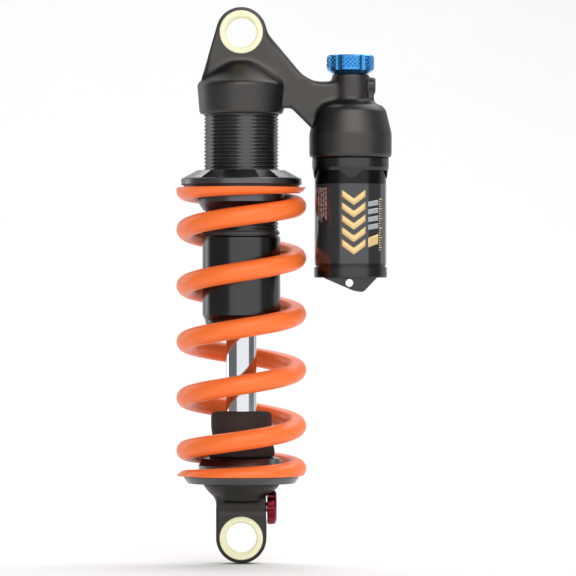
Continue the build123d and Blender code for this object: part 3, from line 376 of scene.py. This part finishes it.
class SHOCK_OT_finishes(bpy.types.Operator):
    """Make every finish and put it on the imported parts"""

    bl_idname = "shock.finishes"
    bl_label = "Finishes"

    def execute(self, context):
        c = context.scene.shock_colours
        made = make_finishes(c)
        context.scene["shock_finishes"] = {slot: m.name for slot, m in made.items()}
        own = {
            "damper_tube": dulled_threads(c.black),
            "reservoir_tube": shadowed_rim(c.black),
            # the collar and the retainer take the lighter copy of the black anodise, painted light for the
            # reflections on their lugs and edges
            "preload_collar": turned_anodise("collar_black_anodise_painted_light", c.collar, 0.3),
            "spring_retainer": turned_anodise("retainer_black_anodise", c.collar, 0.24),
        }
        for part in frame["record"]["subparts"]:
            node = frame["nodes"][part["node"]]
            node.data.materials.clear()
            node.data.materials.append(own.get(part["node"], made[part["material_slot"]]))
        return {"FINISHED"}


def within(place, zones):
    """Whether a point lies in any zone: an axis, the centre across it, a radius and two ends, in mm."""
    for axis, centre, radius, low, high in zones:
        along = "XYZ".index(axis)
        across = [place[i] / MM for i in range(3) if i != along]
        near = (across[0] - centre[0]) ** 2 + (across[1] - centre[1]) ** 2 < radius**2
        if near and low < place[along] / MM < high:
            return True
    return False


def forged(node, name, body, material, voxel, bores, blends):
    """A forging's copy with rounded outside edges and flowing blends, whose bores stay true."""
    bm = bmesh.new()
    bm.from_mesh(frame["nodes"][node].data)
    bmesh.ops.remove_doubles(bm, verts=bm.verts, dist=1e-6)
    mesh = bpy.data.meshes.new(name)
    bm.to_mesh(mesh)
    helper = bpy.data.objects.new(name, mesh)
    bpy.context.scene.collection.objects.link(helper)
    skin = helper.modifiers.new("Skin", "REMESH")
    skin.mode, skin.voxel_size = "VOXEL", voxel * MM
    remeshed = helper.evaluated_get(bpy.context.evaluated_depsgraph_get())
    even = bpy.data.meshes.new_from_object(remeshed)
    bpy.data.objects.remove(helper)
    bpy.data.meshes.remove(mesh)
    bm.clear()
    bm.from_mesh(even)
    bpy.data.meshes.remove(even)
    outside = [v for v in bm.verts if not within(v.co, bores)]
    flowing = [v for v in outside if within(v.co, blends)]
    every_way = {"use_axis_x": True, "use_axis_y": True, "use_axis_z": True}
    # edges rounded everywhere, then the long blends, then a last pass that joins the two
    for verts, rounds in ((outside, 3), (flowing, 40), (outside, 2)):
        for _ in range(rounds):
            bmesh.ops.smooth_vert(bm, verts=verts, factor=0.5, **every_way)
    return as_piece(bm, name, body, material, [node])


class SHOCK_OT_forgings(bpy.types.Operator):
    """Forge the cap and the lower eyelet with soft edges and flowing blends"""

    bl_idname = "shock.forgings"
    bl_label = "Forgings"

    def execute(self, context):
        side = RESERVOIR_X / MM
        bores = [
            ("Z", (0, 0), 15.9, -35, -26),  # the damper tube's socket
            ("Z", (0, 0), 12.9, -26, -19.8),  # the oil space over it
            ("Z", (side, 0), 15.1, -53, -41.8),  # the reservoir's socket
            ("Z", (side, 0), 11.7, -42, -33),  # the base valve's chamber
            ("Z", (side, 0), 3.9, -34, -16),  # the spindle's bore
            ("Z", (side, -5.5), 1.7, -21, -16),  # the detent ball's pocket
            ("Y", (0, 0), 9.3, -7, 7),  # the upper eye
            ("X", (0, -21.9), 2.8, 45, 57),  # the bleed screw's hole
        ]
        blends = [
            ("Y", (15, -12), 12.5, -7, 7),  # the eye's plate into the arm
            ("Y", (33.5, -27), 9, -20, 20),  # the arm into the reservoir's head
            ("Z", (side, 0), 12, -32, -27),  # the foot of the neck
            ("Z", (0, 0), 17, -19.2, -10.5),  # the dome into the eye's plate
        ]
        forged("body_cap", "forged_cap", "damper", finish_of("cap_finish"), 0.45, bores, blends)
        bores = [
            ("Z", (0, 0), 6.9, -194, -185),  # the shaft's socket
            ("Z", (0, 0), 11.2, -188, -185),  # the spigot in the retainer
            ("Z", (0, 0), 2.4, -199, -192),  # the rebound rod's hole
            ("X", (0, -197.3), 4.1, -5, 17),  # the cam's bore
            ("X", (0, -197.3), 8.3, 10, 17),  # the flat under the knob
            ("X", (0, -197.3), 6, 8, 10.5),  # the detent ball's pocket
            ("Y", (0, -210), 9.3, -7, 7),  # the lower eye
        ]
        blends = [("Z", (-1, 0), 11.8, -197, -189)]  # the flare into the eye's plate
        satin = forged_anodise("dark_forged_anodise", context.scene.shock_colours.eyelet)
        forged("lower_eyelet", "forged_eyelet", "shaft", satin, 0.4, bores, blends)
        return {"FINISHED"}


class SHOCK_OT_spring(bpy.types.Operator):
    """Wind the coil spring with closed and ground ends"""

    bl_idname = "shock.spring"
    bl_label = "Spring"

    def execute(self, context):
        sizes = context.scene.shock_sizes
        low, high = (c.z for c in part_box("coil_spring"))
        half_turns, steps, closing = 13, 20, 3
        top_close, bottom_close = 1.75 * MM, 1.4 * MM
        # the open coils lie a little above half way
        middle = (low + high) / 2 + 1.5 * MM
        bm = bmesh.new()
        start = bm.verts.new((sizes.coil, 0, middle + half_turns / 2 * sizes.pitch))
        turned = {"angle": half_turns * pi, "steps": half_turns * steps}
        drop = Vector((0, 0, -sizes.pitch / steps))
        bmesh.ops.spin(bm, geom=[start], axis=(0, 0, -1), cent=(0, 0, 0), dvec=drop, **turned)
        # the last half turns at each end close up until the coils touch
        for vert in bm.verts:
            k = (middle - vert.co.z) / sizes.pitch + half_turns / 2
            rise = bottom_close * max(0, k - half_turns + closing) ** 2
            vert.co.z += rise - top_close * max(0, closing - k) ** 2
        top_line, bottom_line = max(v.co.z for v in bm.verts), min(v.co.z for v in bm.verts)
        spring = as_piece(bm, "spring", "damper", finish_of("spring_coat"), ["coil_spring"])
        # the wire is swept along its centre line, then ground flat at both ends, so that it keeps its
        # thickness while the line shortens with the stroke
        tree, start, end = modifier_tree("wound_wire")
        line = add(tree, "GeometryNodeMeshToCurve", {"Mesh": start.outputs[0]})
        ring = add(tree, "GeometryNodeCurvePrimitiveCircle", {"Resolution": 28, "Radius": sizes.wire / 2})
        wire = add(
            tree,
            "GeometryNodeCurveToMesh",
            {"Curve": line.outputs[0], "Profile Curve": ring.outputs[0], "Fill Caps": True},
        )
        bounds = add(tree, "GeometryNodeBoundBox", {"Geometry": start.outputs[0]})
        lowest = add(tree, "ShaderNodeSeparateXYZ", {0: bounds.outputs["Min"]})
        ground = add(
            tree,
            "ShaderNodeMapRange",
            {
                "Value": lowest.outputs[2],
                "From Min": bottom_line,
                "From Max": high,
                "To Min": low,
                "To Max": high,
            },
        )
        place = add(tree, "GeometryNodeInputPosition")
        at = add(tree, "ShaderNodeSeparateXYZ", {0: place.outputs[0]})
        flat = add(tree, "ShaderNodeClamp", {"Value": at.outputs[2], "Min": ground.outputs[0], "Max": high})
        put = add(tree, "ShaderNodeCombineXYZ", {0: at.outputs[0], 1: at.outputs[1], 2: flat.outputs[0]})
        cut = {"Geometry": wire.outputs[0], "Position": put.outputs[0]}
        moved = add(tree, "GeometryNodeSetPosition", cut)
        smooth = add(tree, "GeometryNodeSetShadeSmooth", {"Geometry": moved.outputs[0]})
        coat = {"Geometry": smooth.outputs[0], "Material": finish_of("spring_coat")}
        coated = add(tree, "GeometryNodeSetMaterial", coat)
        tree.links.new(coated.outputs[0], end.inputs[0])
        spring.modifiers.new("Wound wire", "NODES").node_group = tree
        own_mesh(spring)
        if top_line < high:
            raise RuntimeError("the spring's first coil lies below its ground end")
        return {"FINISHED"}


class SHOCK_OT_bumper(bpy.types.Operator):
    """Mould the bottom-out bumper"""

    bl_idname = "shock.bumper"
    bl_label = "Bumper"

    def execute(self, context):
        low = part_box("bottom_out_bumper")[0].z
        # half outline from the bore's foot round the outside to its top, in millimetres above the foot
        outline = [
            (6.7, 0.9), (7.2, 0.25), (8.2, 0.0), (12.6, 0.0), (13.6, 0.3), (14.0, 1.2), (13.9, 3.0),
            (13.4, 4.8), (12.6, 6.4), (12.2, 8.0), (12.2, 9.4), (12.45, 10.9), (12.65, 12.6), (12.7, 16.6),
            (12.5, 18.0), (11.7, 18.8), (10.4, 18.9), (8.4, 18.9), (7.3, 18.6), (6.8, 17.9), (6.6, 16.4),
            (6.6, 3.0),
        ]
        bm = bmesh.new()
        profile = [bm.verts.new((r * MM, 0, low + h * MM)) for r, h in outline]
        edges = [bm.edges.new(pair) for pair in zip(profile, profile[1:] + profile[:1])]
        bmesh.ops.spin(
            bm, geom=profile + edges, axis=(0, 0, 1), cent=(0, 0, 0), angle=2 * pi, steps=48, use_merge=True
        )
        foam = finish_of("bumper_foam")
        bumper = as_piece(bm, "bumper", "shaft", foam, ["bottom_out_bumper"])
        skin = bumper.modifiers.new("Soft skin", "SUBSURF")
        skin.levels = skin.render_levels = 1
        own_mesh(bumper)
        return {"FINISHED"}


def wrap_round(bm, axis_x, radius, angle=0.0):
    """Rolls flat work round an upright cylinder: x becomes arc length from the front, y the height."""
    for vert in bm.verts:
        across, up, proud = vert.co
        turn = across / radius + angle
        reach = radius + proud
        vert.co = (axis_x + reach * sin(turn), -reach * cos(turn), up)


class SHOCK_OT_knurling(bpy.types.Operator):
    """Roll the diamond knurling on the compression knob's pads"""

    bl_idname = "shock.knurling"
    bl_label = "Knob knurling"

    def execute(self, context):
        pitch = context.scene.shock_sizes.knurl
        low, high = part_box("compression_knob")
        radius = (high.x - low.x) / 2
        bottom, top = low.z + 2.3 * MM, high.z - 0.9 * MM
        half_width = radius * radians(22)
        pads, sunk, tooth = 6, 0.05 * MM, 0.42 * pitch
        whole = bmesh.new()
        for pad in range(pads):
            bm = bmesh.new()
            # an even count, wide enough that the turned grid covers the pad
            cells = 2 * int(half_width * 3 / pitch / 2)
            bmesh.ops.create_grid(bm, x_segments=cells, y_segments=cells, size=cells * pitch / 2)
            bmesh.ops.rotate(bm, verts=bm.verts, cent=(0, 0, 0), matrix=Matrix.Rotation(pi / 4, 3, "Z"))
            bmesh.ops.translate(bm, verts=bm.verts, vec=(0, (bottom + top) / 2, 0))
            for point, normal in (
                ((half_width, 0, 0), (1, 0, 0)),
                ((-half_width, 0, 0), (-1, 0, 0)),
                ((0, top, 0), (0, 1, 0)),
                ((0, bottom, 0), (0, -1, 0)),
            ):
                whole_pad = bm.verts[:] + bm.edges[:] + bm.faces[:]
                edge = {"plane_co": point, "plane_no": normal, "clear_outer": True}
                bmesh.ops.bisect_plane(bm, geom=whole_pad, **edge)
            bmesh.ops.poke(bm, faces=bm.faces, offset=tooth, center_mode="MEAN")
            wrap_round(bm, RESERVOIR_X, radius - sunk, 2 * pi * pad / pads)
            mesh = bpy.data.meshes.new("pad")
            bm.to_mesh(mesh)
            bm.free()
            whole.from_mesh(mesh)
            bpy.data.meshes.remove(mesh)
        blue = finish_of("blue_anodised")
        piece = as_piece(whole, "knob_knurling", "compression_adjuster", blue)
        for polygon in piece.data.polygons:
            polygon.use_smooth = False
        return {"FINISHED"}


def printed(name, shapes, material, thickness):
    """Ink on the film: flat bars, each (left, right, bottom, top, slant) in mm, wrapped round it."""
    bm = bmesh.new()
    for left, right, bottom, top, slant in shapes:
        made = bmesh.ops.create_grid(bm, x_segments=8, y_segments=2, size=0.5)["verts"]
        bmesh.ops.scale(bm, verts=made, vec=((right - left) * MM, (top - bottom) * MM, 1))
        for vert in made:
            vert.co.y += slant * MM * (vert.co.x / ((right - left) * MM))
        bmesh.ops.translate(bm, verts=made, vec=((left + right) / 2 * MM, (bottom + top) / 2 * MM, 0))
    wrap_round(bm, RESERVOIR_X, LABEL_SKIN + 0.005 * MM)
    piece = as_piece(bm, name, "damper", material)
    ink = piece.modifiers.new("Ink", "SOLIDIFY")
    ink.thickness, ink.offset = thickness, 1
    return piece


class SHOCK_OT_label(bpy.types.Operator):
    """Print the reservoir's label with plain chevrons, a scale and rows of dashes"""

    bl_idname = "shock.label"
    bl_label = "Label print"

    def execute(self, context):
        c, thickness = context.scene.shock_colours, context.scene.shock_sizes.print_thickness
        # metallic ink: warm and slightly grainy
        gold = plain_finish("gold_ink", c.gold, 0.42, 0.5, 0.004, 0.06, Metallic=0.35)
        silver = plain_finish("silver_ink", c.silver, 0.4, 0.5, 0.004, 0.06, Metallic=0.35)
        chalk = plain_finish("pale_ink", linear("#B9ADB0"), 0.5, 0.5, 0.004, 0.1)
        chevrons = []
        for z in (-70.2, -75.3, -80.4, -85.5, -90.6):
            chevrons += [(-3.9, 1.15, z, z + 2.9, -3.6), (1.15, 6.2, z, z + 2.9, 3.6)]
        printed("label_chevrons", chevrons, gold, thickness)
        rungs = [(7.4, 12.9, z, z + 2.1, 0.8) for z in (-72.2, -75.4, -78.6, -81.8)]
        printed("label_scale", rungs, silver, thickness)
        printed("label_scale_end", [(7.4, 12.9, -88.6, -84.6, 1.6)], gold, thickness)
        # five upright rows of dashes of four lengths, which stop at a line
        rows, stop = [], -79.0
        for column in range(5):
            x, z = -16.6 + 1.25 * column, -64.6
            for dash in range(9):
                size = 1.0 + 0.45 * ((dash * 5 + column * 3) % 4)
                if z - size < stop:
                    break
                rows.append((x, x + 0.42, z - size, z, 0))
                z -= size + 0.4
        printed("label_dashes", rows, chalk, thickness)
        # a rule of ticks 1 mm apart, every fourth one longer
        ticks = [(13.4, 14.4 if step % 4 else 15.4, -69.6 - step, -69.2 - step, 0) for step in range(22)]
        printed("label_ticks", ticks, gold, thickness)
        return {"FINISHED"}


# ---------------------------------------------------------------- studio
def soft_light(name, place, width, height, watts):
    """A white softbox that faces the middle of the shock and that the camera doesn't see."""
    middle = Vector((0.01, 0, -0.1))
    data = bpy.data.lights.new(name, "AREA")
    data.shape, data.size, data.size_y, data.energy = "RECTANGLE", width, height, watts
    light = bpy.data.objects.new(name, data)
    light.location = place
    light.rotation_euler = (middle - Vector(place)).to_track_quat("-Z", "Y").to_euler()
    light.visible_camera = False
    bpy.context.scene.collection.objects.link(light)


class SHOCK_OT_stage(bpy.types.Operator):
    """Set the pale floor and backdrop, the soft lights and the camera"""

    bl_idname = "shock.stage"
    bl_label = "Stage"

    def execute(self, context):
        scene = context.scene
        # paper that runs back along the floor, turns up in a quarter circle and rises behind
        ground = cad_low.z - 0.3 * MM
        half_width, front, back, bend, height = 4, -3, 0.9, 0.8, 3
        bm = bmesh.new()
        foot = bm.verts.new((-half_width, back, ground))
        bm.edges.new([bm.verts.new((-half_width, front, ground)), foot])
        centre = (-half_width, back, ground + bend)
        turned = bmesh.ops.spin(bm, geom=[foot], axis=(1, 0, 0), cent=centre, angle=pi / 2, steps=24)
        top = next(g for g in turned["geom_last"] if isinstance(g, bmesh.types.BMVert))
        rise = bmesh.ops.extrude_vert_indiv(bm, verts=[top])["verts"]
        bmesh.ops.translate(bm, verts=rise, vec=(0, 0, height))
        out = bmesh.ops.extrude_edge_only(bm, edges=bm.edges[:])["geom"]
        far_side = [g for g in out if isinstance(g, bmesh.types.BMVert)]
        bmesh.ops.translate(bm, verts=far_side, vec=(2 * half_width, 0, 0))
        bmesh.ops.recalc_face_normals(bm, faces=bm.faces)
        mesh = bpy.data.meshes.new("studio_sweep")
        bm.to_mesh(mesh)
        bm.free()
        for polygon in mesh.polygons:
            polygon.use_smooth = True
        floor = bpy.data.objects.new("studio_sweep", mesh)
        scene.collection.objects.link(floor)
        # matte studio paper: even and nearly white, with a faint tooth
        paper = plain_finish("studio_paper", linear("#ECECEC"), 0.9, 3.0, 0.02, 0.01)
        floor.data.materials.append(paper)

        world = bpy.data.worlds.new("studio")
        world.use_nodes = True
        sky = world.node_tree.nodes["Background"]
        sky.inputs["Color"].default_value = (0.9, 0.92, 0.95, 1)
        sky.inputs["Strength"].default_value = 0.22
        scene.world = world

        soft_light("front", (0.3, -1.35, 0.05), 3.0, 2.2, 25)
        soft_light("key", (0.25, -1.15, 0.8), 1.3, 0.45, 6)
        soft_light("over", (0.35, 0.7, 1.15), 2.2, 1.3, 26)
        soft_light("left_rear", (-1.15, 0.75, 0.1), 0.5, 1.8, 6)
        soft_light("right_rear", (1.25, 0.7, 0.15), 0.4, 1.8, 1.5)

        data = bpy.data.cameras.new("camera")
        data.sensor_width, distance, view_width = 36, 1.9, 0.2397
        data.lens = data.sensor_width * distance / view_width
        camera = bpy.data.objects.new("camera", data)
        camera.location = (0.0194, -distance, -0.1062)
        camera.rotation_euler = (pi / 2, 0, 0)
        data.clip_start, data.clip_end = 0.05, 50
        scene.collection.objects.link(camera)
        scene.camera = camera
        # plain display, so that the finishes keep their own saturation
        scene.view_settings.view_transform = "Standard"
        return {"FINISHED"}


class SHOCK_PT_panel(bpy.types.Panel):
    bl_idname = "SHOCK_PT_panel"
    bl_label = "Rear Shock"
    bl_space_type = "VIEW_3D"
    bl_region_type = "UI"
    bl_category = "Rear Shock"

    def draw(self, context):
        for group in (context.scene.shock_colours, context.scene.shock_sizes):
            for name in group.__annotations__:
                self.layout.prop(group, name)
        for operator in OPERATORS:
            self.layout.operator(operator.bl_idname)


OPERATORS = (
    SHOCK_OT_finishes,
    SHOCK_OT_forgings,
    SHOCK_OT_spring,
    SHOCK_OT_bumper,
    SHOCK_OT_knurling,
    SHOCK_OT_label,
    SHOCK_OT_stage,
)


def register():
    for cls in (ShockColours, ShockSizes, *OPERATORS, SHOCK_PT_panel):
        bpy.utils.register_class(cls)
    bpy.types.Scene.shock_colours = bpy.props.PointerProperty(type=ShockColours)
    bpy.types.Scene.shock_sizes = bpy.props.PointerProperty(type=ShockSizes)


def unregister():
    del bpy.types.Scene.shock_colours, bpy.types.Scene.shock_sizes
    for cls in reversed((ShockColours, ShockSizes, *OPERATORS, SHOCK_PT_panel)):
        bpy.utils.unregister_class(cls)


def main():
    register()
    bpy.ops.shock.finishes()
    bpy.ops.shock.forgings()
    bpy.ops.shock.spring()
    bpy.ops.shock.bumper()
    bpy.ops.shock.knurling()
    bpy.ops.shock.label()
    bpy.ops.shock.stage()


if __name__ == "__main__":
    main()
